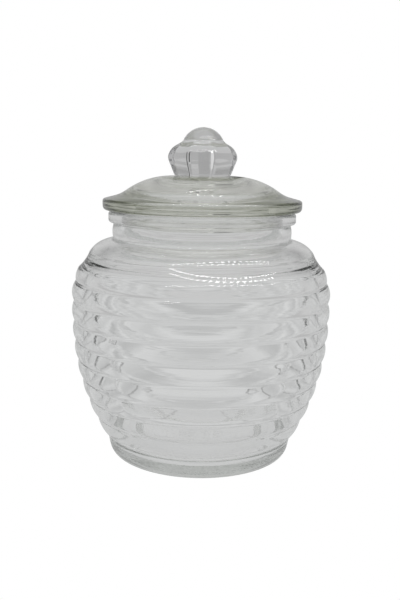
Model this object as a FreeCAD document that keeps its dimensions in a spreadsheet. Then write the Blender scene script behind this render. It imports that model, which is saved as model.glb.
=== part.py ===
import FreeCAD, Part
import math
import os
import Sketcher

# A ribbed glass storage jar with a lift-off lid: jar body, lid, knob and sealing ring.
# Millimetres, +Z up. The origin is on the table, under the middle of the jar.

# Driving dimensions, one row of the sheet each: alias, value, meaning.
SIZES = [
    # Foot and base of the jar
    ("foot_radius", 56.0, "outside of the foot at the table, before its edge is rounded"),
    ("foot_height", 13.8, "height of the lowest groove above the table"),
    ("heel_round", 8.0, "rounding of the bottom edge of the foot"),
    ("stand_radius", 44.0, "inner edge of the flat ring that the jar stands on"),
    ("push_up", 2.5, "rise of the flat underside inside that ring"),
    ("push_slope", 6.0, "width of the slope from that ring up to the underside"),
    ("push_round", 2.5, "rounding between that slope and the underside"),
    ("floor_height", 8.0, "inside floor above the table"),
    ("floor_round", 12.0, "rounding between the inside floor and the wall"),
    # Ribbed wall of the jar
    ("rib_count", 9, "ribs between the foot and the shoulder"),
    ("groove_pitch", 12.04, "height from one groove to the next"),
    ("rib_rise", 1.5, "crest of a rib outside the line of the grooves"),
    ("groove_round", 2.6, "rounding at the bottom of a groove"),
    ("top_groove_round", 7.0, "wider rounding at the bottom of the top groove, below the shoulder"),
    ("base_groove_radius", 58.7, "radius of the lowest groove"),
    ("belly_radius", 78.7, "radius of the line of the grooves where it is widest"),
    ("belly_height", 98.0, "height at which the jar is widest"),
    ("lower_power", 2.45, "how suddenly the wall draws in below the belly"),
    ("upper_power", 2.8, "how suddenly the wall draws in above the belly"),
    ("wall", 4.0, "thickness of the glass at a groove"),
    ("inner_ripple", 1.0, "how far the inside follows each rib outwards"),
    ("inner_round", 5.0, "rounding of the ridges on the inside"),
    # Shoulder, neck and rim of the jar
    ("shoulder_height", 13.0, "top groove up to the foot of the neck"),
    ("shoulder_rise", 4.0, "crest of the shoulder outside the line of the grooves"),
    ("neck_radius", 54.4, "outside of the neck"),
    ("neck_height", 10.1, "foot of the neck up to the rim bead"),
    ("neck_bulge", 0.8, "how far the soft ring on the neck swells outwards"),
    ("neck_round", 1.5, "rounding between the neck and the shoulder"),
    ("rim_radius", 57.6, "outside of the rim bead"),
    ("rim_height", 6.9, "height of the rim bead"),
    ("rim_slope", 1.2, "height of the sloping underside of the rim bead"),
    ("rim_round", 1.5, "rounding of the edges of the rim bead"),
    ("neck_wall", 4.4, "thickness of the glass around the mouth, in the neck or in a narrower rim"),
    # Sealing ring
    ("seal_thickness", 1.0, "flange of the ring between the rim and the lid"),
    ("seal_inset", 1.0, "edge of the ring inside the edge of the rim"),
    ("skirt_thickness", 1.0, "skirt of the ring around the lid's plug"),
    ("skirt_depth", 8.6, "skirt of the ring below the rim"),
    ("fin_count", 2, "soft fins around the skirt"),
    ("fin_reach", 1.0, "how far a fin stands out from the skirt"),
    ("fin_height", 1.6, "height of a fin where it leaves the skirt"),
    ("mouth_clearance", 0.35, "fin to the inside of the neck"),
    ("ring_clearance", 0.3, "skirt of the ring to the lid's plug"),
    # Lid
    ("plug_depth", 10.6, "plug below the underside of the flange"),
    ("plug_wall", 6.0, "thickness of the plug"),
    ("plug_round", 1.5, "rounding of the lower edges of the plug"),
    ("lid_overhang", 3.5, "edge of the lid beyond the rim bead"),
    ("flange_thickness", 6.7, "thickness of the lid at its edge"),
    ("flange_round_low", 3.0, "rounding of the lower edge of the flange"),
    ("flange_round_top", 1.8, "rounding of the upper edge of the flange"),
    ("flange_slope", 7.6, "width of the sloping top of the flange, up to the hollow curve"),
    ("cove_rise", 8.7, "foot of the hollow curve above the underside of the flange"),
    ("cove_width", 6.7, "width of the hollow curve, up to the dome"),
    ("dome_foot_rise", 12.0, "foot of the dome above the underside of the flange"),
    ("dome_flat_radius", 19.0, "flat top of the dome"),
    ("dome_height", 21.0, "flat top above the underside of the flange"),
    ("crown_thickness", 7.0, "thickness of the glass under the flat top"),
    ("ceiling_flat_radius", 26.0, "flat middle of the hollow underside"),
    ("ceiling_drop", 7.0, "how far the hollow underside slopes down to the plug"),
    ("ceiling_round", 6.0, "rounding at both ends of that slope"),
    # Knob
    ("knob_sides", 8, "flat sides of the knob"),
    ("knob_turn", 20.0, "direction of one corner from the X axis, in degrees"),
    ("knob_foot_radius", 18.2, "corners of the knob where it stands on the lid"),
    ("knob_radius", 23.2, "corners of the knob where it is widest"),
    ("knob_widest_height", 11.5, "height of the widest place above the lid"),
    ("knob_shoulder_radius", 20.1, "corners of the knob where its upper slopes grow steeper"),
    ("knob_shoulder_height", 16.8, "that place above the lid"),
    ("knob_step_radius", 12.9, "corners of the knob where its cap rises from it"),
    ("knob_step_height", 20.8, "that place above the lid"),
    ("knob_cap_radius", 12.9, "round cap at its foot"),
    ("knob_cap_sink", 1.5, "foot of the cap below that place"),
    ("knob_height", 29.2, "top of the cap above the lid"),
    ("knob_corner", 2.6, "rounding of the upright corners"),
    ("knob_edge_round", 2.2, "height above and below the widest edge that is rounded off"),
    ("knob_recess_radius", 13.0, "hollow under the foot of the knob"),
    ("knob_recess_depth", 1.2, "depth of that hollow"),
]

# Heights that several pieces share
NECK_FOOT = "(Sizes.foot_height + Sizes.rib_count * Sizes.groove_pitch + Sizes.shoulder_height)"
RIM_FOOT = f"({NECK_FOOT} + Sizes.neck_height)"
RIM_TOP = f"({RIM_FOOT} + Sizes.rim_height)"
LID_SEAT = f"({RIM_TOP} + Sizes.seal_thickness)"
LID_TOP = f"({LID_SEAT} + Sizes.dome_height)"

# Radii from the mouth of the jar inwards: fin tips, skirt, then the plug of the lid
MOUTH = "(min(Sizes.neck_radius; Sizes.rim_radius) - Sizes.neck_wall)"
FIN_TIP = f"({MOUTH} - Sizes.mouth_clearance)"
SKIRT_OUTSIDE = f"({FIN_TIP} - Sizes.fin_reach)"
SKIRT_INSIDE = f"({SKIRT_OUTSIDE} - Sizes.skirt_thickness)"
PLUG_OUTSIDE = f"({SKIRT_INSIDE} - Sizes.ring_clearance)"
PLUG_INSIDE = f"({PLUG_OUTSIDE} - Sizes.plug_wall)"

# Radii from the edge of the lid inwards: the hollow curve, then the dome
LID_RADIUS = "(Sizes.rim_radius + Sizes.lid_overhang)"
COVE = f"({LID_RADIUS} - Sizes.flange_slope)"
DOME_FOOT = f"({COVE} - Sizes.cove_width)"

# Most of the glass beside it that a rounding may take, so that two of them leave room for each other
EVEN_SHARE = 0.45
UPPER_SHARE = 0.35
LOWER_SHARE = 0.55
HEEL_SHARE = 0.65

# Steps of Newton's method that place a rounding between two runs
ROUNDING_STEPS = 20

doc = FreeCAD.newDocument("RibbedJar")
sheet = doc.addObject("Spreadsheet::Sheet", "Sizes")
for row, (alias, value, meaning) in enumerate(SIZES, start=1):
    sheet.set(f"A{row}", meaning)
    sheet.set(f"B{row}", str(value))
    sheet.setAlias(f"B{row}", alias)
doc.recompute()


def number(expression):
    """The present value of an expression on the sheet."""
    return float(sheet.evalExpression(expression))


def attach(sketch, body, role):
    """Puts a sketch on one of the origin planes of its own body."""
    plane = next(o for o in body.Origin.OriginFeatures if o.Role == role)
    sketch.AttachmentSupport = [(plane, "")]
    sketch.MapMode = "FlatFace"


def bind(sketch, constraints, expressions):
    """Adds the constraints of a sketch at once and ties those with an expression to the sheet."""
    sketch.addConstraint(constraints)
    for index, expression in expressions.items():
        sketch.setExpression(f"Constraints[{index}]", expression)


class Run:
    """One straight or round stretch of an outline. turn is 1 leftwards, -1 rightwards, 0 if straight."""

    def __init__(self, start, end, centre=None, turn=0):
        self.start = start
        self.end = end
        self.centre = centre
        self.turn = turn

    @classmethod
    def over(cls, start, middle, end):
        """The arc from start to end that passes over a middle point."""
        centre = Part.Circle(start, middle, end).Center
        bend = (middle - start).cross(end - middle).z
        return cls(start, end, centre, 1 if bend > 0 else -1)

    @classmethod
    def tangent(cls, before, end):
        """The arc that goes on smoothly from the run before it and reaches end."""
        start = before.end
        chord = end - start
        left = before.left(start)
        centre = start + left * (chord.Length**2 / (2 * left.dot(chord)))
        return cls(start, end, centre, 1 if left.dot(chord) > 0 else -1)

    def left(self, point):
        """The unit vector to the left of the run at a point."""
        if self.turn:
            return (self.centre - point).normalize() * self.turn
        along = (self.end - self.start).normalize()
        return FreeCAD.Vector(-along.y, along.x, 0)

    def distance(self, point):
        """How far a point lies to the left of the run."""
        if self.turn:
            radius = (self.start - self.centre).Length
            return self.turn * (radius - (point - self.centre).Length)
        return self.left(point).dot(point - self.start)

    def draw(self, sketch):
        """Adds the run to a sketch and notes its number, and which of its ends is which."""
        self.first, self.last = (2, 1) if self.turn < 0 else (1, 2)
        if not self.turn:
            self.number = sketch.addGeometry(Part.LineSegment(self.start, self.end), False)
            return
        low, high = (self.end, self.start) if self.turn < 0 else (self.start, self.end)
        circle = Part.Circle(self.centre, FreeCAD.Vector(0, 0, 1), (low - self.centre).Length)
        angles = [math.atan2(p.y - self.centre.y, p.x - self.centre.x) for p in (low, high)]
        if angles[1] < angles[0]:
            angles[1] += 2 * math.pi
        self.number = sketch.addGeometry(Part.ArcOfCircle(circle, *angles), False)


def rounding(before, after, radius):
    """The arc of a radius that touches two runs at their corner. Shortens both to meet it."""
    corner = before.end
    lefts = before.left(corner), after.left(corner)
    side = 1 if lefts[0].cross(lefts[1]).z > 0 else -1
    centre = corner + (lefts[0] + lefts[1]).normalize() * side * radius
    for _ in range(ROUNDING_STEPS):
        first, second = before.left(centre), after.left(centre)
        errors = [run.distance(centre) - side * radius for run in (before, after)]
        spread = first.cross(second).z
        shift_x = (errors[0] * second.y - errors[1] * first.y) / spread
        shift_y = (errors[1] * first.x - errors[0] * second.x) / spread
        centre = centre - FreeCAD.Vector(shift_x, shift_y, 0)
    before.end = centre - before.left(centre) * side * radius
    after.start = centre - after.left(centre) * side * radius
    return Run(before.end, after.start, centre, side)


class Outline:
    """A closed outline in the XZ plane. Each corner is an X and a Z expression, None for zero."""

    def __init__(self, body, name, x, z):
        self.sketch = body.newObject("Sketcher::SketchObject", name)
        attach(self.sketch, body, "XZ_Plane")
        self.corners = [(x, z)]
        self.plans = []
        self.constraints = []
        self.expressions = {}

    def line(self, x, z, soft=None):
        """A straight run to the next corner, which may be softened by a radius."""
        self.corners.append((x, z))
        self.plans.append(("line", None, soft))

    def arc(self, x, z, over, soft=None):
        """An arc over a third place to the next corner, which may be softened by a radius."""
        self.corners.append((x, z))
        self.plans.append(("arc", over, soft))

    def smooth(self, x, z):
        """An arc to the next corner, tangent to the run before it."""
        self.corners.append((x, z))
        self.plans.append(("smooth", None, None))

    def close(self):
        """A straight run back to the first corner. Draws the sketch and ties it to the sheet."""
        self.plans.append(("line", None, None))
        points = [self.point(place) for place in self.corners]
        points.append(points[0])
        runs = []
        for (kind, over, _), start, end in zip(self.plans, points, points[1:]):
            if kind == "line":
                runs.append(Run(start, end))
            elif kind == "arc":
                runs.append(Run.over(start, self.point(over), end))
            else:
                runs.append(Run.tangent(runs[-1], end))
        softened = [
            rounding(before, after, number(soft)) if soft else None
            for (_, _, soft), before, after in zip(self.plans, runs, runs[1:] + runs[:1])
        ]
        for run in filter(None, runs + softened):
            run.draw(self.sketch)
        for index, run in enumerate(runs):
            self.tie_corner(index, runs[index - 1], softened[index - 1], run)
        for (_, over, _), run in zip(self.plans, runs):
            if over:
                self.mark(over, run)
        bind(self.sketch, self.constraints, self.expressions)
        return self.sketch

    def point(self, place):
        """The present place of a corner in the sketch."""
        return FreeCAD.Vector(*(number(e) if e else 0.0 for e in place), 0)

    def tie_corner(self, index, before, soft, run):
        """Joins two runs at a corner, directly or by the arc that softens it."""
        place = self.corners[index]
        if soft:
            self.join("Tangent", before, soft)
            self.join("Tangent", soft, run)
            self.mark(place, before, run)
            radius = self.plans[index - 1][2]
            self.add(Sketcher.Constraint("Radius", soft.number, number(radius)), radius)
            return
        self.join("Tangent" if self.plans[index][0] == "smooth" else "Coincident", before, run)
        self.fix(run.number, run.first, place)

    def join(self, kind, before, after):
        """Lets one run begin where another ends."""
        ends = before.number, before.last, after.number, after.first
        self.add(Sketcher.Constraint(kind, *ends))

    def mark(self, place, *runs):
        """A fixed point that the given runs pass through."""
        geometry = self.sketch.addGeometry(Part.Point(self.point(place)), True)
        self.fix(geometry, 1, place)
        for run in runs:
            self.add(Sketcher.Constraint("PointOnObject", geometry, 1, run.number))

    def fix(self, geometry, end, place):
        """Ties one point to its two expressions, or to an axis where one is zero."""
        for kind, axis, expression in zip(("DistanceX", "DistanceY"), (-2, -1), place):
            if expression is None:
                self.add(Sketcher.Constraint("PointOnObject", geometry, end, axis))
            else:
                self.add(Sketcher.Constraint(kind, geometry, end, number(expression)), expression)

    def add(self, constraint, expression=None):
        """Notes a constraint, with the expression that its value follows, if it has one."""
        if expression:
            self.expressions[len(self.constraints)] = expression
        self.constraints.append(constraint)


def new_body(name):
    """A body whose label names the piece."""
    body = doc.addObject("PartDesign::Body", name)
    body.Label = name
    return body


def revolve(body, kind, sketch, name):
    """Turns an outline once round the Z axis, to add a solid or to cut one away."""
    turned = body.newObject(kind, name)
    turned.Profile = sketch
    turned.ReferenceAxis = (sketch, ["V_Axis"])
    turned.Angle = 360
    doc.recompute()


def groove_height(count):
    """Height of a groove, counted from the lowest one."""
    return f"(Sizes.foot_height + {count} * Sizes.groove_pitch)"


def groove_line(height):
    """Radius of the smooth line that the bottoms of the grooves follow."""
    below = (
        "(Sizes.belly_radius - Sizes.base_groove_radius)"
        f" * pow(abs(Sizes.belly_height - {height}) / (Sizes.belly_height - Sizes.foot_height)"
        "; Sizes.lower_power)"
    )
    above = (
        "(Sizes.belly_radius - Sizes.neck_radius)"
        f" * pow(abs({height} - Sizes.belly_height) / abs({NECK_FOOT} - Sizes.belly_height)"
        "; Sizes.upper_power)"
    )
    return f"(Sizes.belly_radius - ({height} < Sizes.belly_height ? {below} : {above}))"


def halfway(first, second):
    """Middle of two expressions."""
    return f"(({first} + {second}) / 2)"


def limited(radius, room, share=EVEN_SHARE):
    """A rounding that stays within its share of the room beside it."""
    return f"min({radius}; {room} * {share})"


def make_jar_body():
    """The jar: foot, ribbed wall, shoulder, neck with its soft ring, and the rim bead."""
    body = new_body("jar_body")
    ribs = int(number("Sizes.rib_count"))
    grooves = [groove_height(count) for count in range(ribs + 1)]
    heel = limited("Sizes.heel_round", "Sizes.foot_height", HEEL_SHARE)
    rim_soft = limited("Sizes.rim_round", "(Sizes.rim_height - Sizes.rim_slope)")

    # Outside, from the hollow underside up to the rim
    outline = Outline(body, "jar_outline", None, "Sizes.push_up")
    outline.line("(Sizes.stand_radius - Sizes.push_slope)", "Sizes.push_up", soft="Sizes.push_round")
    outline.line("Sizes.stand_radius", None)
    outline.line("Sizes.foot_radius", None, soft=heel)
    outline.line(groove_line(grooves[0]), grooves[0], soft="Sizes.groove_round")
    softenings = ["Sizes.groove_round"] * (ribs - 1) + ["Sizes.top_groove_round"]
    for low, high, soft in zip(grooves, grooves[1:], softenings):
        crest = halfway(low, high)
        over = (f"({groove_line(crest)} + Sizes.rib_rise)", crest)
        outline.arc(groove_line(high), high, over, soft=soft)
    crest = halfway(grooves[-1], NECK_FOOT)
    over = (f"({groove_line(crest)} + Sizes.shoulder_rise)", crest)
    outline.arc("Sizes.neck_radius", NECK_FOOT, over, soft="Sizes.neck_round")
    over = ("(Sizes.neck_radius + Sizes.neck_bulge)", halfway(NECK_FOOT, RIM_FOOT))
    outline.arc("Sizes.neck_radius", RIM_FOOT, over)
    outline.line("Sizes.rim_radius", f"({RIM_FOOT} + Sizes.rim_slope)", soft=rim_soft)
    outline.line("Sizes.rim_radius", RIM_TOP, soft=rim_soft)
    outline.line(None, RIM_TOP)
    revolve(body, "PartDesign::Revolution", outline.close(), "jar_turned")

    # Inside, from the rounded edge of the mouth down to the floor
    outline = Outline(body, "cavity_outline", None, RIM_TOP)
    outline.line(f"({MOUTH} + {rim_soft})", RIM_TOP)
    corner = f"({rim_soft} * (1 - sqrt(0.5)))"
    over = (f"({MOUTH} + {corner})", f"({RIM_TOP} - {corner})")
    outline.arc(MOUTH, f"({RIM_TOP} - {rim_soft})", over)
    inner_neck_foot = f"({NECK_FOOT} - Sizes.wall)"
    outline.line(MOUTH, inner_neck_foot, soft="Sizes.neck_round")
    heights = [inner_neck_foot, *reversed(grooves[1:]), "Sizes.floor_height"]
    softenings = ["Sizes.inner_round"] * ribs + ["Sizes.floor_round"]
    for high, low, soft in zip(heights, heights[1:], softenings):
        crest = halfway(high, low)
        over = (f"({groove_line(crest)} - Sizes.wall + Sizes.inner_ripple)", crest)
        outline.arc(f"({groove_line(low)} - Sizes.wall)", low, over, soft=soft)
    outline.line(None, "Sizes.floor_height")
    full = body.Shape.Volume
    revolve(body, "PartDesign::Groove", outline.close(), "jar_cavity")
    if body.Shape.Volume >= full:
        raise RuntimeError("the cavity of the jar cuts nothing")
    return body


def make_lid_seal():
    """The sealing ring: a flange on the rim, and a skirt with fins around the plug."""
    body = new_body("lid_seal")
    edge = "(Sizes.rim_radius - Sizes.seal_inset)"
    skirt_foot = f"({RIM_TOP} - Sizes.skirt_depth)"
    fins = int(number("Sizes.fin_count"))
    outline = Outline(body, "seal_outline", SKIRT_INSIDE, LID_SEAT)
    outline.line(edge, LID_SEAT)
    outline.line(edge, RIM_TOP)
    outline.line(SKIRT_OUTSIDE, RIM_TOP)
    for count in range(1, fins + 1):
        middle = f"({RIM_TOP} - Sizes.skirt_depth * {count} / (Sizes.fin_count + 1))"
        outline.line(SKIRT_OUTSIDE, f"({middle} + Sizes.fin_height / 2)")
        outline.line(FIN_TIP, middle)
        outline.line(SKIRT_OUTSIDE, f"({middle} - Sizes.fin_height / 2)")
    outline.line(SKIRT_OUTSIDE, skirt_foot)
    outline.line(SKIRT_INSIDE, skirt_foot)
    revolve(body, "PartDesign::Revolution", outline.close(), "seal_turned")
    return body


def make_lid():
    """The lid: a low dome on a thick rounded flange, hollow below, with a plug for the mouth."""
    body = new_body("lid")
    plug_foot = f"({LID_SEAT} - Sizes.plug_depth)"
    ceiling = f"({LID_TOP} - Sizes.crown_thickness)"
    flange_top = f"({LID_SEAT} + Sizes.flange_thickness)"
    flange_soft_top = limited("Sizes.flange_round_top", "Sizes.flange_thickness", UPPER_SHARE)
    flange_soft_low = limited("Sizes.flange_round_low", "Sizes.flange_thickness", LOWER_SHARE)
    plug_soft = limited("Sizes.plug_round", "Sizes.plug_wall")

    # Top, from the middle of the dome out to the edge of the flange
    outline = Outline(body, "lid_outline", None, LID_TOP)
    outline.line("Sizes.dome_flat_radius", LID_TOP)
    outline.smooth(DOME_FOOT, f"({LID_SEAT} + Sizes.dome_foot_rise)")
    outline.smooth(COVE, f"({LID_SEAT} + Sizes.cove_rise)")
    outline.line(LID_RADIUS, flange_top, soft=flange_soft_top)

    # Underside, from the edge of the flange around the plug to the hollow of the dome
    outline.line(LID_RADIUS, LID_SEAT, soft=flange_soft_low)
    outline.line(PLUG_OUTSIDE, LID_SEAT)
    outline.line(PLUG_OUTSIDE, plug_foot, soft=plug_soft)
    outline.line(PLUG_INSIDE, plug_foot, soft=plug_soft)
    outline.line(PLUG_INSIDE, f"({ceiling} - Sizes.ceiling_drop)", soft="Sizes.ceiling_round")
    outline.line("Sizes.ceiling_flat_radius", ceiling, soft="Sizes.ceiling_round")
    outline.line(None, ceiling)
    revolve(body, "PartDesign::Revolution", outline.close(), "lid_turned")
    return body


def rounded_polygon(body, name, radius, height):
    """A regular polygon with rounded corners, level at a height, for the sides of the knob."""
    sketch = body.newObject("Sketcher::SketchObject", name)
    attach(sketch, body, "XY_Plane")
    sketch.setExpression("AttachmentOffset.Base.z", height)
    sides = int(number("Sizes.knob_sides"))
    half_angle = math.pi / sides
    reach = number(radius)
    corner = number("Sizes.knob_corner")
    # The corner arcs sit on spokes that end where a sharp corner would be
    spoke = reach - corner / math.cos(half_angle)
    start = math.radians(number("Sizes.knob_turn"))
    arcs = []
    for count in range(sides):
        angle = start + 2 * half_angle * count
        centre = FreeCAD.Vector(math.cos(angle), math.sin(angle), 0) * spoke
        circle = Part.Circle(centre, FreeCAD.Vector(0, 0, 1), corner)
        arc = Part.ArcOfCircle(circle, angle - half_angle, angle + half_angle)
        arcs.append(sketch.addGeometry(arc, False))
    lines = []
    for count in range(sides):
        this_end = sketch.Geometry[arcs[count]].EndPoint
        next_start = sketch.Geometry[arcs[(count + 1) % sides]].StartPoint
        lines.append(sketch.addGeometry(Part.LineSegment(this_end, next_start), False))
    centres = sketch.addGeometry(Part.Circle(FreeCAD.Vector(), FreeCAD.Vector(0, 0, 1), spoke), True)
    first_centre = sketch.Geometry[arcs[0]].Center
    pointer = sketch.addGeometry(Part.LineSegment(FreeCAD.Vector(), first_centre), True)
    constraints = [
        Sketcher.Constraint("Radius", arcs[0], corner),
        Sketcher.Constraint("Radius", centres, spoke),
        Sketcher.Constraint("Angle", pointer, start),
        Sketcher.Constraint("Coincident", centres, 3, -1, 1),
        Sketcher.Constraint("Coincident", pointer, 1, -1, 1),
        Sketcher.Constraint("Coincident", pointer, 2, arcs[0], 3),
    ]
    expressions = {
        0: "Sizes.knob_corner",
        1: f"{radius} - Sizes.knob_corner / cos(180 deg / Sizes.knob_sides)",
        2: "Sizes.knob_turn * 1 deg",
    }
    for count in range(sides):
        after = arcs[(count + 1) % sides]
        constraints.append(Sketcher.Constraint("Tangent", arcs[count], 2, lines[count], 1))
        constraints.append(Sketcher.Constraint("Tangent", lines[count], 2, after, 1))
        constraints.append(Sketcher.Constraint("PointOnObject", arcs[count], 3, centres))
        if count:
            constraints.append(Sketcher.Constraint("Equal", arcs[0], arcs[count]))
            constraints.append(Sketcher.Constraint("Equal", lines[0], lines[count]))
    bind(sketch, constraints, expressions)
    return sketch


def make_lid_knob():
    """The knob: flat sides that spread to a widest edge and draw in again, under a round cap."""
    body = new_body("lid_knob")
    widest = f"({LID_TOP} + Sizes.knob_widest_height)"
    shoulder = f"({LID_TOP} + Sizes.knob_shoulder_height)"
    step = f"({LID_TOP} + Sizes.knob_step_height)"
    top = f"({LID_TOP} + Sizes.knob_height)"
    # The widest edge is rounded by two sections on the straight slopes beside it
    low_share = "(Sizes.knob_edge_round / Sizes.knob_widest_height)"
    high_share = "(Sizes.knob_edge_round / (Sizes.knob_shoulder_height - Sizes.knob_widest_height))"
    below = f"(Sizes.knob_radius - (Sizes.knob_radius - Sizes.knob_foot_radius) * {low_share})"
    above = f"(Sizes.knob_radius - (Sizes.knob_radius - Sizes.knob_shoulder_radius) * {high_share})"
    rounded = f"((2 * Sizes.knob_radius + {below} + {above}) / 4)"
    sections = [
        rounded_polygon(body, "knob_foot", "Sizes.knob_foot_radius", LID_TOP),
        rounded_polygon(body, "knob_below", below, f"({widest} - Sizes.knob_edge_round)"),
        rounded_polygon(body, "knob_middle", rounded, widest),
        rounded_polygon(body, "knob_above", above, f"({widest} + Sizes.knob_edge_round)"),
        rounded_polygon(body, "knob_shoulder", "Sizes.knob_shoulder_radius", shoulder),
        rounded_polygon(body, "knob_step", "Sizes.knob_step_radius", step),
    ]
    sides = body.newObject("PartDesign::AdditiveLoft", "knob_sides_loft")
    sides.Profile = sections[0]
    sides.Sections = sections[1:]
    sides.Ruled = True
    doc.recompute()

    # The cap, a slice of a ball that starts inside the flat sides
    cap_foot = f"({step} - Sizes.knob_cap_sink)"
    cap_height = f"({top} - {cap_foot})"
    ball = f"((Sizes.knob_cap_radius^2 + {cap_height}^2) / (2 * {cap_height}))"
    half_reach = "(Sizes.knob_cap_radius / 2)"
    over = (half_reach, f"({top} - {ball} + sqrt({ball}^2 - {half_reach}^2))")
    cap = Outline(body, "cap_outline", None, cap_foot)
    cap.line("Sizes.knob_cap_radius", cap_foot)
    cap.arc(None, top, over=over)
    revolve(body, "PartDesign::Revolution", cap.close(), "knob_cap")

    # The hollow that leaves a ring for the knob to stand on
    hollow = body.newObject("Sketcher::SketchObject", "hollow_outline")
    attach(hollow, body, "XY_Plane")
    hollow.setExpression("AttachmentOffset.Base.z", LID_TOP)
    radius = number("Sizes.knob_recess_radius")
    circle = hollow.addGeometry(Part.Circle(FreeCAD.Vector(), FreeCAD.Vector(0, 0, 1), radius), False)
    constraints = [
        Sketcher.Constraint("Radius", circle, radius),
        Sketcher.Constraint("Coincident", circle, 3, -1, 1),
    ]
    bind(hollow, constraints, {0: "Sizes.knob_recess_radius"})
    before = body.Tip.Shape.Volume
    pocket = body.newObject("PartDesign::Pocket", "knob_hollow")
    pocket.Profile = hollow
    pocket.Reversed = True
    pocket.setExpression("Length", "Sizes.knob_recess_depth")
    doc.recompute()
    if pocket.Shape.Volume >= before:
        raise RuntimeError("the hollow under the knob cuts nothing")
    return body


def check_document():
    """Stops if any object failed, or any piece is missing, invalid or in several lumps."""
    for item in doc.Objects:
        if any(state in ("Invalid", "Error") for state in item.State):
            raise RuntimeError(f"{item.Name} failed: {item.State}")
    for piece in pieces:
        shape = piece.Shape
        if shape.isNull() or not shape.isValid() or len(shape.Solids) != 1:
            raise RuntimeError(f"{piece.Label} isn't one valid solid")


pieces = [make_jar_body(), make_lid_seal(), make_lid(), make_lid_knob()]
doc.recompute()
check_document()
os.makedirs("parts", exist_ok=True)
for piece in pieces:
    piece.Shape.exportStep(f"parts/{piece.Label}.step")
    box = piece.Shape.optimalBoundingBox()
    print(
        piece.Label,
        f"volume {piece.Shape.Volume / 1000:.1f} cm3,",
        f"{box.XLength:.1f} x {box.YLength:.1f} mm,",
        f"Z {box.ZMin:.2f} to {box.ZMax:.2f}",
    )
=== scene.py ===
import math

import bpy
from mathutils import Matrix, Vector, noise


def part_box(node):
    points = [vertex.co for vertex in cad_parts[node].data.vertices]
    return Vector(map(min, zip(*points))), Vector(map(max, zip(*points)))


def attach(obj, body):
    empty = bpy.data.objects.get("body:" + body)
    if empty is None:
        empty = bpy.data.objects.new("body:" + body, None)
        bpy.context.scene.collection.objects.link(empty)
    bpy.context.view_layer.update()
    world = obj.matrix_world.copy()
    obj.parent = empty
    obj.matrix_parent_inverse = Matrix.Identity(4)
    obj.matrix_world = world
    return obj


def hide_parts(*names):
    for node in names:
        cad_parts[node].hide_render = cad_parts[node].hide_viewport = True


# The dressed ribbed jar: jar, sealing ring, lid and knob as turned and faceted glass meshes, in the
# place of the solids that they stand for. Profiles are in millimetres, the scene is in metres.

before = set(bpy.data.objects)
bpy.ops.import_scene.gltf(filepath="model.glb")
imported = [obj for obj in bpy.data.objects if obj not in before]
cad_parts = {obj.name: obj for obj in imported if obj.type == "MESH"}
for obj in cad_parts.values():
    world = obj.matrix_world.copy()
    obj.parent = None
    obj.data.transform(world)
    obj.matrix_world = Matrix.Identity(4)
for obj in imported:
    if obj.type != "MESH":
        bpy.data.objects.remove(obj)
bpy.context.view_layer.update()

MM = 0.001


def node_heights(node):
    """Lowest and highest Z of a solid, in millimetres."""
    low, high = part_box(node)
    return low.z / MM, high.z / MM


def node_radius(node):
    """Half the width of a solid, in millimetres."""
    low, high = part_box(node)
    return (high.x - low.x) / 2 / MM


# Heights and radii that the pieces share, from the solids
RIM_TOP = node_heights("jar_body")[1]
SKIRT_FOOT, LID_SEAT = node_heights("lid_seal")
PLUG_FOOT, LID_TOP = node_heights("lid")
KNOB_TOP = node_heights("lid_knob")[1]
LID_RADIUS = node_radius("lid")
RING_RADIUS = node_radius("lid_seal")

# Air film left where two clear pieces lie on each other
FILM = 0.04

# Jar
FOOT_RADIUS = 56.0
FOOT_HEIGHT = 13.8
HEEL_ROUND = 8.0
STAND_RADIUS = 44.0
STAND_ROUND = 1.0
PUSH_UP = 2.5
PUSH_SLOPE = 6.0
PUSH_ROUND = 2.5
INNER_FLOOR_HEIGHT = 8.0
INNER_FLOOR_ROUND = 12.0
RIB_COUNT = 9
GROOVE_PITCH = 12.04
RIB_RISE = 1.5
GROOVE_ROUND = 2.6
TOP_GROOVE_ROUND = 14.0
BASE_GROOVE_RADIUS = 58.7
BELLY_RADIUS = 78.7
BELLY_HEIGHT = 98.0
LOWER_POWER = 2.45
UPPER_POWER = 2.8
WALL = 4.0
INNER_RIPPLE = 1.0
INNER_ROUND = 5.0
SHOULDER_RISE = 4.0
SHOULDER_HEIGHT = 13.0
NECK_HEIGHT = 10.1
NECK_FOOT = FOOT_HEIGHT + RIB_COUNT * GROOVE_PITCH + SHOULDER_HEIGHT
NECK_RADIUS = 54.4
NECK_BULGE = 0.8
NECK_ROUND = 1.5
RIM_FOOT = NECK_FOOT + NECK_HEIGHT
RIM_FOOT_ROUND = 0.6
RIM_RADIUS = 57.6
RIM_SLOPE = 1.2
RIM_ROUND = 1.5
MOUTH_RADIUS = 50.0

# Unevenness of the inside of the wall: its depth, its length round the jar, and how much shorter it is
# up the wall
WAVE_DEPTH = 0.16
WAVE_LENGTH = 45.0
WAVE_STRETCH = 4.5

# Sealing ring
SKIRT_OUTSIDE = 48.65
SKIRT_INSIDE = 47.65
FIN_COUNT = 2
FIN_REACH = 1.0
FIN_HEIGHT = 1.6
FIN_FOOT_ROUND = 0.1
FIN_TIP_ROUND = 0.2

# Lid
PLUG_OUTSIDE = 47.35
PLUG_INSIDE = 41.35
PLUG_ROUND = 1.5
FLANGE_THICKNESS = 6.7
FLANGE_ROUND_LOW = 3.0
FLANGE_ROUND_TOP = 1.8
FLANGE_SLOPE = 7.6
COVE_RISE = 8.7
COVE_WIDTH = 6.7
COVE_ROUND = 6.0
DOME_FOOT_RISE = 12.0
DOME_FLAT_RADIUS = 19.0
CROWN_THICKNESS = 7.0
CEILING_FLAT_RADIUS = 26.0
CEILING_DROP = 7.0
CEILING_ROUND = 6.0

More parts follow.
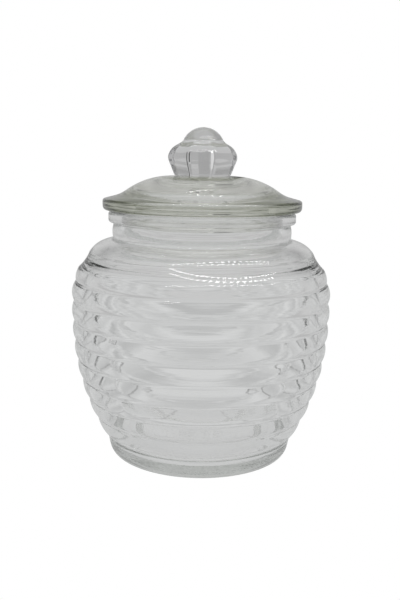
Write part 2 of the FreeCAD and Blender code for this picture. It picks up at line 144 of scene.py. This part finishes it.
# Knob, with heights above the lid
KNOB_SIDES = 8
KNOB_TURN = math.radians(20.0)
KNOB_FOOT_RADIUS = 18.2
KNOB_FOOT_INSET = 0.5
KNOB_RADIUS = 23.2
KNOB_WIDEST_HEIGHT = 11.5
KNOB_WIDEST_ROUND = 6.0
KNOB_SHOULDER_RADIUS = 20.1
KNOB_SHOULDER_HEIGHT = 16.8
KNOB_SHOULDER_ROUND = 10.0
KNOB_STEP_RADIUS = 12.9
KNOB_STEP_HEIGHT = 20.8
KNOB_CAP_RADIUS = 12.9
KNOB_CAP_SINK = 1.5
KNOB_CORNER = 2.6
KNOB_RECESS_RADIUS = 13.0
KNOB_RECESS_DEPTH = 1.2

# Where the knob's sides run into its cap: width of the blend, how far below its foot the cap's ball still
# counts, how fast the sides close over the step, and how small they get, as a share of a corner's radius
KNOB_BLEND = 1.6
KNOB_CAP_ROOT = 2.0
KNOB_CLOSING = 4.0
KNOB_LAST_SIDES = 1.3

# Mesh fineness: spacing along a profile, steps round the axis and up the cap, the least steps of a
# straight run, a round run and a rounded corner, and the corner's steps in each spacing
SPACING = 0.9
TURN_STEPS = 240
KNOB_CAP_STEPS = 28
LINE_STEPS = 2
ARC_STEPS = 6
CORNER_STEPS = 4
CORNER_FINENESS = 3

# Rounding of a plain edge, the least cut that rounds a corner, the most of a straight piece that a cut
# takes, and the distance within which two points are one
EDGE_SOFT = 0.3
LEAST_CUT = 0.03
MOST_TAKEN = 0.9
SAME_POINT = 1e-6

TURN_ANGLES = [2 * math.pi * step / TURN_STEPS for step in range(TURN_STEPS)]


class Profile:
    """A line of straight and round runs in the half plane of the axis, as (radius, height)."""

    def __init__(self, radius, height):
        self.runs = []
        self.softs = []
        self.end = Vector((radius, height))

    def line(self, radius, height, soft=EDGE_SOFT):
        """A straight run to a corner, which is softened by a radius."""
        start, end = self.end, Vector((radius, height))
        steps = max(LINE_STEPS, math.ceil((end - start).length / SPACING))
        self.add([start.lerp(end, i / steps) for i in range(steps + 1)], soft)

    def arc(self, radius, height, over, soft=EDGE_SOFT):
        """A run round a circle over a third point to a corner, which is softened by a radius."""
        start, middle, end = self.end, Vector(over), Vector((radius, height))
        first, second = middle - start, end - start
        area = 2 * (first.x * second.y - first.y * second.x)
        centre = start + Vector((
            second.y * first.length_squared - first.y * second.length_squared,
            first.x * second.length_squared - second.x * first.length_squared,
        )) / area
        self.sweep(centre, end, soft, bend=1 if area > 0 else -1)

    def smooth(self, radius, height, soft=0.0):
        """A round run that goes on from the run before it without a corner."""
        start, end = self.end, Vector((radius, height))
        along = (self.runs[-1][-1] - self.runs[-1][-2]).normalized()
        left = Vector((-along.y, along.x))
        chord = end - start
        reach = chord.length_squared / (2 * left.dot(chord))
        self.sweep(start + left * reach, end, soft, bend=1 if reach > 0 else -1)

    def sweep(self, centre, end, soft, bend):
        """Adds an arc about a centre from the present end to a new one, bending left or right."""
        spoke, last = self.end - centre, end - centre
        angle = math.atan2(spoke.x * last.y - spoke.y * last.x, spoke.dot(last))
        if angle * bend < 0:
            angle += bend * 2 * math.pi
        steps = max(ARC_STEPS, math.ceil(abs(angle) * spoke.length / SPACING))
        points = [centre + Matrix.Rotation(angle * i / steps, 2) @ spoke for i in range(steps + 1)]
        self.add(points, soft)

    def add(self, points, soft):
        """Adds a run of points."""
        self.runs.append(points)
        self.softs.append(soft)
        self.end = points[-1].copy()

    def points(self):
        """All points of the profile, with each corner rounded off."""
        runs = [list(run) for run in self.runs]
        bends = []
        for before, after, soft in zip(runs, runs[1:], self.softs):
            corner = before[-1]
            turn = (before[-1] - before[-2]).angle(after[1] - after[0], 0.0)
            cut = soft * math.tan(turn / 2)
            if cut < LEAST_CUT:
                bends.append([])
                continue
            trim(before, cut)
            after.reverse()
            trim(after, cut)
            after.reverse()
            steps = max(CORNER_STEPS, math.ceil(cut * CORNER_FINENESS / SPACING))
            bends.append([
                before[-1].lerp(corner, i / steps).lerp(corner.lerp(after[0], i / steps), i / steps)
                for i in range(1, steps)
            ])
        joined = []
        for run, bend in zip(runs, bends + [[]]):
            apart = not joined or (run[0] - joined[-1]).length > SAME_POINT
            joined.extend(run if apart else run[1:])
            joined.extend(bend)
        return joined


def trim(points, length):
    """Takes a length off the end of a run of points."""
    while len(points) > 2 and (points[-1] - points[-2]).length <= length:
        length -= (points[-1] - points[-2]).length
        points.pop()
    last = points[-1] - points[-2]
    points[-1] = points[-1] - last.normalized() * min(length, last.length * MOST_TAKEN)


def ring_points(radii, height):
    """One ring of points about the axis, with a radius for each step."""
    return [
        (radius * math.cos(angle), radius * math.sin(angle), height)
        for radius, angle in zip(radii, TURN_ANGLES)
    ]


def skin(rings, poles=None):
    """Vertices and faces over a stack of rings, which runs up the outside and down the inside.

    The stack is closed by a point on the axis at each end, where poles gives their two heights, and
    otherwise its last ring joins its first.
    """
    vertices = [point for ring in rings for point in ring]
    faces = []
    for ring in range(len(rings) - (1 if poles else 0)):
        low, high = ring * TURN_STEPS, (ring + 1) % len(rings) * TURN_STEPS
        for step in range(TURN_STEPS):
            after = (step + 1) % TURN_STEPS
            faces.append((low + step, low + after, high + after, high + step))
    if poles:
        first, last = len(vertices), len(vertices) + 1
        vertices.extend((0.0, 0.0, height) for height in poles)
        top = (len(rings) - 1) * TURN_STEPS
        for step in range(TURN_STEPS):
            after = (step + 1) % TURN_STEPS
            faces.append((first, after, step))
            faces.append((last, top + step, top + after))
    return vertices, faces


def turned(points, shift=None):
    """Vertices and faces of a profile turned about the Z axis.

    A profile that begins and ends on the axis gets a pole at each end, and any other closes on itself.
    shift, if given, takes an angle and a point and returns how far the surface moves from the axis.
    """
    poles = None
    if points[0].x < SAME_POINT:
        poles = (points[0].y, points[-1].y)
        points = points[1:-1]
    rings = []
    for radius, height in points:
        radii = [radius + shift(angle, radius, height) if shift else radius for angle in TURN_ANGLES]
        rings.append(ring_points(radii, height))
    return skin(rings, poles)


def new_piece(name, vertices, faces, material, body, node, slot):
    """A smooth mesh that rides on a body in the place of a solid, with its inner points marked."""
    mesh = bpy.data.meshes.new(name)
    mesh.from_pydata([(x * MM, y * MM, z * MM) for x, y, z in vertices], [], faces)
    mesh.shade_smooth()
    mesh.materials.append(material)
    mark = mesh.attributes.new("inside", "FLOAT", "POINT")
    for point in mesh.vertices:
        outward = point.normal.x * point.co.x + point.normal.y * point.co.y
        mark.data[point.index].value = 1.0 if outward < 0 else 0.0
    piece = bpy.data.objects.new(name, mesh)
    bpy.context.scene.collection.objects.link(piece)
    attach(piece, body)
    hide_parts(node)
    return piece


# Shape of the jar

def groove_height(count):
    """Height of a groove, counted from the lowest one."""
    return FOOT_HEIGHT + count * GROOVE_PITCH


def groove_line(height):
    """Radius of the smooth line that the bottoms of the grooves follow."""
    if height < BELLY_HEIGHT:
        share = (BELLY_HEIGHT - height) / (BELLY_HEIGHT - FOOT_HEIGHT)
        return BELLY_RADIUS - (BELLY_RADIUS - BASE_GROOVE_RADIUS) * share**LOWER_POWER
    share = (height - BELLY_HEIGHT) / (NECK_FOOT - BELLY_HEIGHT)
    return BELLY_RADIUS - (BELLY_RADIUS - NECK_RADIUS) * share**UPPER_POWER


def jar_profile():
    """The whole section of the jar, from the middle of its underside round to the inside floor."""
    grooves = [groove_height(count) for count in range(RIB_COUNT + 1)]
    profile = Profile(0.0, PUSH_UP)
    profile.line(STAND_RADIUS - PUSH_SLOPE, PUSH_UP, soft=PUSH_ROUND)
    profile.line(STAND_RADIUS, 0.0, soft=STAND_ROUND)
    profile.line(FOOT_RADIUS, 0.0, soft=HEEL_ROUND)
    profile.line(groove_line(grooves[0]), grooves[0], soft=GROOVE_ROUND)
    for low, high in zip(grooves, grooves[1:]):
        crest = (low + high) / 2
        soft = TOP_GROOVE_ROUND if high == grooves[-1] else GROOVE_ROUND
        profile.arc(groove_line(high), high, (groove_line(crest) + RIB_RISE, crest), soft=soft)
    crest = (grooves[-1] + NECK_FOOT) / 2
    profile.arc(NECK_RADIUS, NECK_FOOT, (groove_line(crest) + SHOULDER_RISE, crest), soft=NECK_ROUND)
    middle = (NECK_FOOT + RIM_FOOT) / 2
    profile.arc(NECK_RADIUS, RIM_FOOT, (NECK_RADIUS + NECK_BULGE, middle), soft=RIM_FOOT_ROUND)
    profile.line(RIM_RADIUS, RIM_FOOT + RIM_SLOPE, soft=RIM_ROUND)
    profile.line(RIM_RADIUS, RIM_TOP, soft=RIM_ROUND)
    profile.line(MOUTH_RADIUS, RIM_TOP, soft=RIM_ROUND)
    inner_neck_foot = NECK_FOOT - WALL
    profile.line(MOUTH_RADIUS, inner_neck_foot, soft=NECK_ROUND)
    heights = [inner_neck_foot, *reversed(grooves[1:]), INNER_FLOOR_HEIGHT]
    for high, low in zip(heights, heights[1:]):
        crest = (high + low) / 2
        soft = INNER_FLOOR_ROUND if low == INNER_FLOOR_HEIGHT else INNER_ROUND
        over = (groove_line(crest) - WALL + INNER_RIPPLE, crest)
        profile.arc(groove_line(low) - WALL, low, over, soft=soft)
    profile.line(0.0, INNER_FLOOR_HEIGHT)
    return profile.points()


def uneven_wall(angle, radius, height):
    """How far the inside of the wall strays from its circle. The outside keeps its shape."""
    # The outer quarter of the wall, and all that lies beyond it, counts as outside
    outside = radius > groove_line(max(height, FOOT_HEIGHT)) - WALL / 4
    if outside or not INNER_FLOOR_HEIGHT < height < NECK_FOOT:
        return 0.0
    place = Vector((radius * math.cos(angle), radius * math.sin(angle), height * WAVE_STRETCH))
    return WAVE_DEPTH * noise.noise(place / WAVE_LENGTH)


# Shape of the sealing ring

def seal_profile():
    """The section of the ring: a flange between rim and lid, and a skirt with fins."""
    low, high = RIM_TOP + FILM, LID_SEAT - FILM
    profile = Profile(SKIRT_INSIDE, high)
    profile.line(SKIRT_INSIDE, SKIRT_FOOT)
    profile.line(SKIRT_OUTSIDE, SKIRT_FOOT)
    depth = RIM_TOP - SKIRT_FOOT
    for count in range(FIN_COUNT, 0, -1):
        middle = RIM_TOP - depth * count / (FIN_COUNT + 1)
        profile.line(SKIRT_OUTSIDE, middle - FIN_HEIGHT / 2, soft=FIN_FOOT_ROUND)
        profile.line(SKIRT_OUTSIDE + FIN_REACH, middle, soft=FIN_TIP_ROUND)
        profile.line(SKIRT_OUTSIDE, middle + FIN_HEIGHT / 2, soft=FIN_FOOT_ROUND)
    profile.line(SKIRT_OUTSIDE, low, soft=FIN_FOOT_ROUND)
    profile.line(RING_RADIUS, low)
    profile.line(RING_RADIUS, high)
    profile.line(SKIRT_INSIDE, high)
    return profile.points()[:-1]


# Shape of the lid

def lid_profile():
    """The section of the lid, from the middle of the hollow round to the top of the dome."""
    ceiling = LID_TOP - CROWN_THICKNESS
    cove = LID_RADIUS - FLANGE_SLOPE
    dome_foot = cove - COVE_WIDTH
    profile = Profile(0.0, LID_TOP)
    profile.line(DOME_FLAT_RADIUS, LID_TOP, soft=0.0)
    profile.smooth(dome_foot, LID_SEAT + DOME_FOOT_RISE)
    profile.smooth(cove, LID_SEAT + COVE_RISE, soft=COVE_ROUND)
    profile.line(LID_RADIUS, LID_SEAT + FLANGE_THICKNESS, soft=FLANGE_ROUND_TOP)
    profile.line(LID_RADIUS, LID_SEAT, soft=FLANGE_ROUND_LOW)
    profile.line(PLUG_OUTSIDE, LID_SEAT)
    profile.line(PLUG_OUTSIDE, PLUG_FOOT, soft=PLUG_ROUND)
    profile.line(PLUG_INSIDE, PLUG_FOOT, soft=PLUG_ROUND)
    profile.line(PLUG_INSIDE, ceiling - CEILING_DROP, soft=CEILING_ROUND)
    profile.line(CEILING_FLAT_RADIUS, ceiling, soft=CEILING_ROUND)
    profile.line(0.0, ceiling)
    return profile.points()[::-1]


# Shape of the knob

def knob_sides(reach):
    """Radii round the axis of a polygon with rounded corners that reaches this far."""
    half = math.pi / KNOB_SIDES
    spoke = reach - KNOB_CORNER / math.cos(half)
    flat = spoke * math.cos(half) + KNOB_CORNER
    corner_end = math.atan2(KNOB_CORNER * math.sin(half), spoke + KNOB_CORNER * math.cos(half))
    radii = []
    for angle in TURN_ANGLES:
        off = (angle - KNOB_TURN + half) % (2 * half) - half
        if abs(off) < corner_end:
            square = KNOB_CORNER**2 - (spoke * math.sin(off)) ** 2
            radii.append(spoke * math.cos(off) + math.sqrt(square))
        else:
            radii.append(flat / math.cos(half - abs(off)))
    return radii


def soft_max(first, second):
    """The larger of two lengths, blended where they are close."""
    near = max(KNOB_BLEND - abs(first - second), 0.0) / KNOB_BLEND
    return max(first, second) + near * near * KNOB_BLEND / 4


def knob_mesh():
    """Vertices and faces of the knob: flat sides with rounded corners, blended into a round cap."""
    spine = Profile(KNOB_FOOT_RADIUS, FILM)
    spine.line(KNOB_RADIUS, KNOB_WIDEST_HEIGHT, soft=KNOB_WIDEST_ROUND)
    spine.line(KNOB_SHOULDER_RADIUS, KNOB_SHOULDER_HEIGHT, soft=KNOB_SHOULDER_ROUND)
    spine.line(KNOB_STEP_RADIUS, KNOB_STEP_HEIGHT, soft=0.0)
    outside = spine.points()
    knob_height = KNOB_TOP - LID_TOP
    cap_foot = KNOB_STEP_HEIGHT - KNOB_CAP_SINK
    cap_height = knob_height - cap_foot
    ball = (KNOB_CAP_RADIUS**2 + cap_height**2) / (2 * cap_height)
    centre = knob_height - ball

    def cap_radius(height):
        """Radius of the cap's ball at a height, or nothing well below its foot."""
        square = ball**2 - (height - centre) ** 2
        return math.sqrt(square) if square > 0 and height > cap_foot - KNOB_CAP_ROOT else 0.0

    recess = [KNOB_RECESS_RADIUS] * TURN_STEPS
    foot = [radius - KNOB_FOOT_INSET for radius in knob_sides(outside[0].x)]
    levels = [(recess, KNOB_RECESS_DEPTH), (recess, FILM), (foot, FILM)]
    for reach, height in outside[1:]:
        cap = cap_radius(height)
        levels.append(([soft_max(side, cap) for side in knob_sides(reach)], height))
    low = math.asin((KNOB_STEP_HEIGHT - centre) / ball)
    for step in range(1, KNOB_CAP_STEPS):
        angle = low + (math.pi / 2 - low) * step / KNOB_CAP_STEPS
        height = centre + ball * math.sin(angle)
        cap = ball * math.cos(angle)
        reach = KNOB_STEP_RADIUS - (height - KNOB_STEP_HEIGHT) * KNOB_CLOSING
        if reach > KNOB_CORNER * KNOB_LAST_SIDES:
            levels.append(([soft_max(side, cap) for side in knob_sides(reach)], height))
        else:
            levels.append(([cap] * TURN_STEPS, height))
    rings = [ring_points(radii, LID_TOP + height) for radii, height in levels]
    return skin(rings, (LID_TOP + KNOB_RECESS_DEPTH, KNOB_TOP))


# Nodes that the materials share

def feed(tree, value, socket):
    """Feeds a socket, by a link from another socket or by a plain value."""
    if isinstance(value, bpy.types.NodeSocket):
        tree.links.new(value, socket)
    else:
        socket.default_value = value


def maths(tree, operation, *values):
    """The result of an operation on sockets or plain numbers."""
    node = tree.nodes.new("ShaderNodeMath")
    node.operation = operation
    for value, socket in zip(values, node.inputs):
        feed(tree, value, socket)
    return node.outputs["Value"]


def map_range(tree, value, source, target=(0.0, 1.0)):
    """A value brought from one range to another."""
    node = tree.nodes.new("ShaderNodeMapRange")
    for name, number in zip(("From Min", "From Max", "To Min", "To Max"), (*source, *target)):
        node.inputs[name].default_value = number
    tree.links.new(value, node.inputs["Value"])
    return node.outputs["Result"]


def stretched_noise(tree, place, scale, detail, shift=(0.0, 0.0, 0.0)):
    """Noise with a scale of its own along each axis, per metre."""
    stretch = tree.nodes.new("ShaderNodeMapping")
    stretch.inputs["Location"].default_value = shift
    stretch.inputs["Scale"].default_value = scale
    tree.links.new(place, stretch.inputs["Vector"])
    cloud = tree.nodes.new("ShaderNodeTexNoise")
    cloud.inputs["Scale"].default_value = 1.0
    cloud.inputs["Detail"].default_value = detail
    tree.links.new(stretch.outputs["Vector"], cloud.inputs["Vector"])
    return cloud.outputs["Fac"]


def grey_ramp(tree, value, source, stops):
    """Grey by a value within a range: pairs of the value and the shade there."""
    first, last = source
    ramp = tree.nodes.new("ShaderNodeValToRGB")
    points = ramp.color_ramp.elements
    points.remove(points[1])
    for count, (at, shade) in enumerate(stops):
        position = (at - first) / (last - first)
        point = points[0] if count == 0 else points.new(position)
        point.position = position
        point.color = (shade, shade, shade, 1.0)
    tree.links.new(map_range(tree, value, source), ramp.inputs["Fac"])
    return ramp.outputs["Color"]


def mixed(tree, factor, first, second, blend="MIX"):
    """Two colours mixed by a factor."""
    node = tree.nodes.new("ShaderNodeMix")
    node.data_type = "RGBA"
    node.blend_type = blend
    for name, value in (("Factor", factor), ("A", first), ("B", second)):
        feed(tree, value, node.inputs[name])
    return node.outputs["Result"]


def split_place(tree, place):
    """The parts of a place along X, Y and Z."""
    split = tree.nodes.new("ShaderNodeSeparateXYZ")
    tree.links.new(place, split.inputs["Vector"])
    return split.outputs["X"], split.outputs["Y"], split.outputs["Z"]


def by_sight(tree, for_glass, for_camera):
    """A shader that is one thing in the glass and another straight before the camera."""
    path = tree.nodes.new("ShaderNodeLightPath")
    choice = tree.nodes.new("ShaderNodeMixShader")
    tree.links.new(path.outputs["Is Camera Ray"], choice.inputs["Fac"])
    tree.links.new(for_glass, choice.inputs[1])
    tree.links.new(for_camera, choice.inputs[2])
    return choice.outputs["Shader"]


# Glass: refraction, detail of its flow lines, and the part of their noise over which the haze grows
GLASS_INDEX = 1.5
FLOW_DETAIL = 3.0
HAZE_RANGE = (0.35, 0.75)


def glass(name, tint, density, haze, outer_streak, inner_streak, closeness=(25.0, 350.0)):
    """Clear pressed glass. tint and density colour it with depth, and haze is its greatest roughness.

    outer_streak and inner_streak are the depths of its flow lines outside and inside, in millimetres, and
    closeness says how close they lie round the axis and up it, per metre.
    """
    material = bpy.data.materials.new(name)
    material.use_nodes = True
    tree = material.node_tree
    shader = tree.nodes["Principled BSDF"]
    shader.inputs["Base Color"].default_value = (1.0, 1.0, 1.0, 1.0)
    shader.inputs["Transmission Weight"].default_value = 1.0
    shader.inputs["IOR"].default_value = GLASS_INDEX
    place = tree.nodes.new("ShaderNodeTexCoord")
    around, up = closeness
    flow = stretched_noise(tree, place.outputs["Object"], (around, around, up), FLOW_DETAIL)
    side = tree.nodes.new("ShaderNodeAttribute")
    side.attribute_name = "inside"
    depth = map_range(tree, side.outputs["Fac"], (0.0, 1.0), (outer_streak, inner_streak))
    bump = tree.nodes.new("ShaderNodeBump")
    bump.inputs["Strength"].default_value = 1.0
    bump.inputs["Distance"].default_value = MM
    tree.links.new(maths(tree, "MULTIPLY", flow, depth), bump.inputs["Height"])
    tree.links.new(bump.outputs["Normal"], shader.inputs["Normal"])
    tree.links.new(map_range(tree, flow, HAZE_RANGE, (0.0, haze)), shader.inputs["Roughness"])
    absorb = tree.nodes.new("ShaderNodeVolumeAbsorption")
    absorb.inputs["Color"].default_value = (*tint, 1.0)
    absorb.inputs["Density"].default_value = density
    tree.links.new(absorb.outputs["Volume"], tree.nodes["Material Output"].inputs["Volume"])
    return material


jar_glass = glass(
    "jar_glass", tint=(0.80, 0.82, 0.80), density=10.0, haze=0.01,
    outer_streak=0.003, inner_streak=0.04, closeness=(6.0, 500.0),
)
lid_glass = glass(
    "lid_glass", tint=(0.68, 0.70, 0.60), density=26.0, haze=0.02,
    outer_streak=0.02, inner_streak=0.10, closeness=(6.0, 600.0),
)
knob_clear = glass(
    "knob_acrylic", tint=(0.70, 0.70, 0.71), density=13.0, haze=0.02,
    outer_streak=0.004, inner_streak=0.02,
)
seal_clear = glass(
    "seal_ring", tint=(0.90, 0.90, 0.86), density=5.0, haze=0.15,
    outer_streak=0.02, inner_streak=0.02,
)

# The pieces, each with its body, the solid that it stands for, and its slot
new_piece("jar", *turned(jar_profile(), uneven_wall), jar_glass, "jar", "jar_body", "jar_glass")
new_piece("seal", *turned(seal_profile()), seal_clear, "ring", "lid_seal", "seal_ring")
new_piece("lid_dome", *turned(lid_profile()), lid_glass, "lid", "lid", "lid_glass")
new_piece("knob", *knob_mesh(), knob_clear, "lid", "lid_knob", "knob_acrylic")


# The studio

def stage_mesh(name, corners, faces, material):
    """A mesh of the studio, which isn't part of the object."""
    mesh = bpy.data.meshes.new(name)
    mesh.from_pydata(corners, [], faces)
    mesh.materials.append(material)
    thing = bpy.data.objects.new(name, mesh)
    bpy.context.scene.collection.objects.link(thing)
    return thing


def new_paint(name):
    """An empty material, with its node tree."""
    material = bpy.data.materials.new(name)
    material.use_nodes = True
    tree = material.node_tree
    tree.nodes.remove(tree.nodes["Principled BSDF"])
    return material, tree


def emission(tree, colour=(1.0, 1.0, 1.0, 1.0), strength=1.0):
    """A shader that only gives light."""
    node = tree.nodes.new("ShaderNodeEmission")
    feed(tree, colour, node.inputs["Color"])
    feed(tree, strength, node.inputs["Strength"])
    return node.outputs["Emission"]


def glow_paint(name, colour=(1.0, 1.0, 1.0, 1.0), strength=1.0):
    """A material that glows evenly."""
    material, tree = new_paint(name)
    tree.links.new(emission(tree, colour, strength), tree.nodes["Material Output"].inputs["Surface"])
    return material


# Floor, plain and white to the camera. The glass sees it grey, with streaks that run across and faint
# lines that lead away from the jar on both sides. The lines have directions, in degrees from straight
# behind the jar, and a width in degrees. The streaks are noise: its scale per metre along each axis, its
# detail, how far it is shifted, and the range of its values with the shades at the two ends.
FLOOR_RADIUS = 1.0
FLOOR_DROP = 0.0002
FLOOR_STEPS = 96
LINE_DIRECTIONS = (31.0, 60.0)
LINE_WIDTH = 1.3
LINE_SHADE = (0.32, 0.32, 0.32, 1.0)
STREAK_SCALE = (0.5, 14.0, 1.0)
STREAK_DETAIL = 5.0
STREAK_SHIFT = (0.0, 3.0, 0.0)
STREAK_RANGE = (0.3, 0.7)
STREAK_DARK = (0.43, 0.435, 0.435, 1.0)
STREAK_LIGHT = (0.74, 0.745, 0.745, 1.0)


def floor_paint():
    """White to the camera, streaked grey in the glass."""
    material, tree = new_paint("floor_paint")
    place = tree.nodes.new("ShaderNodeNewGeometry").outputs["Position"]
    streaks = tree.nodes.new("ShaderNodeValToRGB")
    for point, at, colour in zip(streaks.color_ramp.elements, STREAK_RANGE, (STREAK_DARK, STREAK_LIGHT)):
        point.position = at
        point.color = colour
    cloud = stretched_noise(tree, place, STREAK_SCALE, STREAK_DETAIL, STREAK_SHIFT)
    tree.links.new(cloud, streaks.inputs["Fac"])
    shade = streaks.outputs["Color"]
    across, away, _ = split_place(tree, place)
    bearing = maths(tree, "ABSOLUTE", maths(tree, "ARCTAN2", across, away))
    for direction in LINE_DIRECTIONS:
        half_width = math.radians(LINE_WIDTH / 2)
        on_line = maths(tree, "COMPARE", bearing, math.radians(direction), half_width)
        shade = mixed(tree, on_line, shade, LINE_SHADE)
    sight = by_sight(tree, emission(tree, shade), emission(tree))
    tree.links.new(sight, tree.nodes["Material Output"].inputs["Surface"])
    return material


floor_turns = [2 * math.pi * step / FLOOR_STEPS for step in range(FLOOR_STEPS)]
stage_mesh(
    "floor",
    [(FLOOR_RADIUS * math.cos(turn), FLOOR_RADIUS * math.sin(turn), -FLOOR_DROP) for turn in floor_turns],
    [tuple(range(FLOOR_STEPS))],
    floor_paint(),
)

# Surroundings: a white page to the camera, a soft grey studio to the glass. The grey goes by the sine of
# the height over the horizon. Each set of strips darkens it by the direction, in degrees from straight
# behind the jar, and its reach says at which heights it does so.
SINES = (-1.0, 1.0)
CIRCLE = (-180.0, 180.0)
HEIGHT_SHADES = (
    (-0.10, 0.585), (0.0, 0.58), (0.25, 0.59), (0.42, 0.54),
    (0.52, 0.50), (0.65, 0.51), (0.8, 0.66), (1.0, 0.85),
)
LOW_STRIPS = ((-60, 1.0), (-50, 0.82), (50, 0.82), (60, 1.0))
LOW_REACH = ((-0.055, 0.0), (-0.045, 1.0), (0.07, 1.0), (0.10, 0.0))
HIGH_STRIPS = (
    (-80, 1.0), (-65, 0.5), (-32, 0.5), (-20, 1.0),
    (20, 1.0), (32, 0.5), (65, 0.5), (80, 1.0),
)
HIGH_REACH = ((0.18, 0.0), (0.25, 1.0), (0.45, 1.0), (0.6, 0.0))


def studio_world():
    """White to the camera, soft grey by height and direction in the glass."""
    world = bpy.data.worlds.new("studio")
    world.use_nodes = True
    tree = world.node_tree
    place = tree.nodes.new("ShaderNodeTexCoord").outputs["Generated"]
    across, away, height = split_place(tree, place)
    degrees = maths(tree, "DEGREES", maths(tree, "ARCTAN2", across, away))
    shade = grey_ramp(tree, height, SINES, HEIGHT_SHADES)
    for strips, reach in ((LOW_STRIPS, LOW_REACH), (HIGH_STRIPS, HIGH_REACH)):
        factor = grey_ramp(tree, height, SINES, reach)
        strip = grey_ramp(tree, degrees, CIRCLE, strips)
        shade = mixed(tree, factor, shade, strip, blend="MULTIPLY")
    studio = tree.nodes.new("ShaderNodeBackground")
    tree.links.new(shade, studio.inputs["Color"])
    page = tree.nodes["Background"]
    page.inputs["Color"].default_value = (1.0, 1.0, 1.0, 1.0)
    sight = by_sight(tree, studio.outputs["Background"], page.outputs["Background"])
    tree.links.new(sight, tree.nodes["World Output"].inputs["Surface"])
    return world


bpy.context.scene.world = studio_world()

# Rows of small lamps on the ceiling, which show only as gloss on the glass: for each row its place across
# the rows, its length and the width of its lamps
LAMP_ROWS = ((-0.70, 3.2, 0.10), (-0.40, 2.4, 0.10), (0.63, 0.9, 0.03))
LAMP_LENGTH = 0.06
LAMP_PITCH = 0.12
LAMP_PLACE = Vector((0.15, -0.05, 1.6))
LAMP_YAW = math.radians(25.0)
LAMP_POWER = 15.0
lamp_turn = Matrix.Rotation(LAMP_YAW, 3, "Z")
lamp_corners = []
lamp_faces = []
for row_place, row_length, lamp_width in LAMP_ROWS:
    lamp_count = round(row_length / LAMP_PITCH)
    for lamp in range(lamp_count):
        along = ((lamp + 0.5) / lamp_count - 0.5) * row_length
        lamp_faces.append(tuple(range(len(lamp_corners), len(lamp_corners) + 4)))
        for u, v in ((-0.5, -0.5), (0.5, -0.5), (0.5, 0.5), (-0.5, 0.5)):
            corner = Vector((along + u * LAMP_LENGTH, row_place + v * lamp_width, 0.0))
            lamp_corners.append(LAMP_PLACE + lamp_turn @ corner)
lamp_glow = glow_paint("lamp_glow", strength=LAMP_POWER)
lamps = stage_mesh("ceiling_lamps", lamp_corners, lamp_faces, lamp_glow)
lamps.visible_camera = False
lamps.visible_transmission = False

# Narrow cards behind the knob, out of the camera's sight, that draw the edges between its sides: for each
# its left and right edge, its foot and top, and its shade
CARDS = (
    ("core_card", (-0.003, 0.0055), (0.172, 0.24), 0.42),
    ("dark_card", (0.0125, 0.034), (0.172, 0.26), 0.12),
    ("light_card", (0.0065, 0.0105), (0.172, 0.26), 0.8),
)
CARD_PLACE = 0.13
for card_name, (left, right), (foot, top), tone in CARDS:
    corners = [(x, CARD_PLACE, z) for x, z in ((left, foot), (right, foot), (right, top), (left, top))]
    card = stage_mesh(card_name, corners, [(0, 1, 2, 3)], glow_paint(card_name, (tone, tone, tone, 1.0)))
    card.visible_camera = False

# Camera at the photo's angle
CAMERA_DISTANCE = 0.4836
CAMERA_HEIGHT = 0.1832
CAMERA_PITCH = math.radians(10.11)
CAMERA_ROLL = math.radians(0.87)
CAMERA_YAW = math.radians(0.07)
CAMERA_LENS = 46.8
camera_data = bpy.data.cameras.new("camera")
camera_data.lens = CAMERA_LENS
camera = bpy.data.objects.new("camera", camera_data)
camera.matrix_world = (
    Matrix.Translation((0.0, -CAMERA_DISTANCE, CAMERA_HEIGHT))
    @ Matrix.Rotation(CAMERA_YAW, 4, "Z")
    @ Matrix.Rotation(math.pi / 2 - CAMERA_PITCH, 4, "X")
    @ Matrix.Rotation(CAMERA_ROLL, 4, "Z")
)
bpy.context.scene.collection.objects.link(camera)
bpy.context.scene.camera = camera

# Plain colours, and light that goes through many walls of glass
GLASS_BOUNCES = 32
GLOSS_BOUNCES = 16
bpy.context.scene.view_settings.view_transform = "Standard"
bpy.context.scene.cycles.max_bounces = GLASS_BOUNCES
bpy.context.scene.cycles.transmission_bounces = GLASS_BOUNCES
bpy.context.scene.cycles.glossy_bounces = GLOSS_BOUNCES
